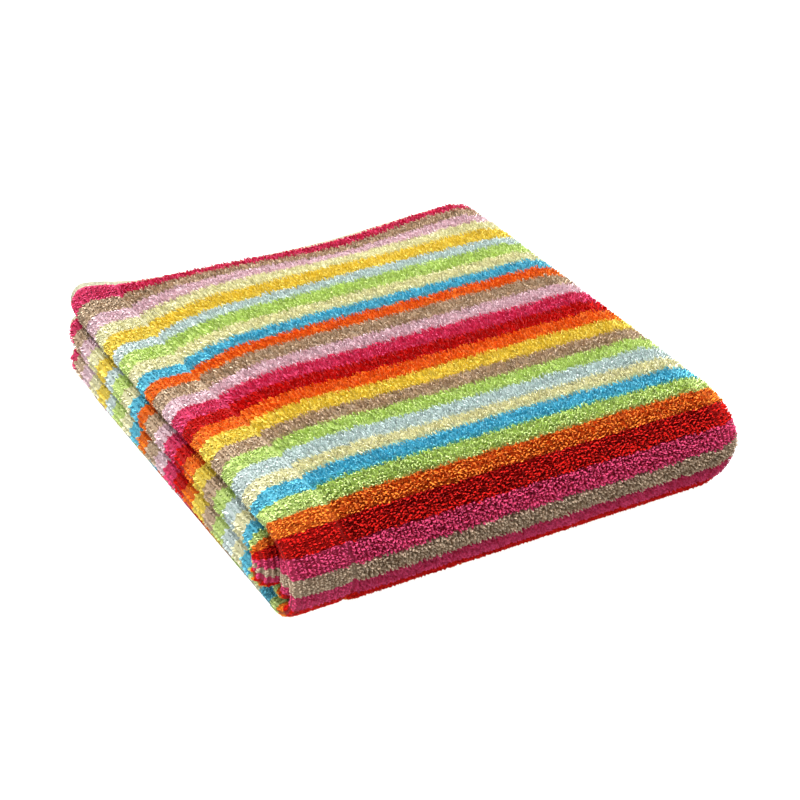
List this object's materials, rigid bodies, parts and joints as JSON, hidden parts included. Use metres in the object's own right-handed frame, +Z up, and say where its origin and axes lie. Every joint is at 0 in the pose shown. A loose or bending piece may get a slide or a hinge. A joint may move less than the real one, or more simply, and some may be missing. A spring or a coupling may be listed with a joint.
{
  "type": "folded hand towel",
  "caption": "Striped terry hand towel, folded in quarters along its length and once across, lying flat as a square pile with a drooping hem band.",
  "frame": {"origin": "middle of the underside, on the surface that the towel rests on", "axes": "+X along the stripes towards the closed right folds, +Y from the front fold to the open back edges, +Z up"},
  "size_m": [0.2358, 0.2282, 0.0598],
  "materials": {
    "terry": "loop pile with coloured stripes"
  },
  "bodies": {
    "root": {"towel": "terry"}
  },
  "joints": []
}
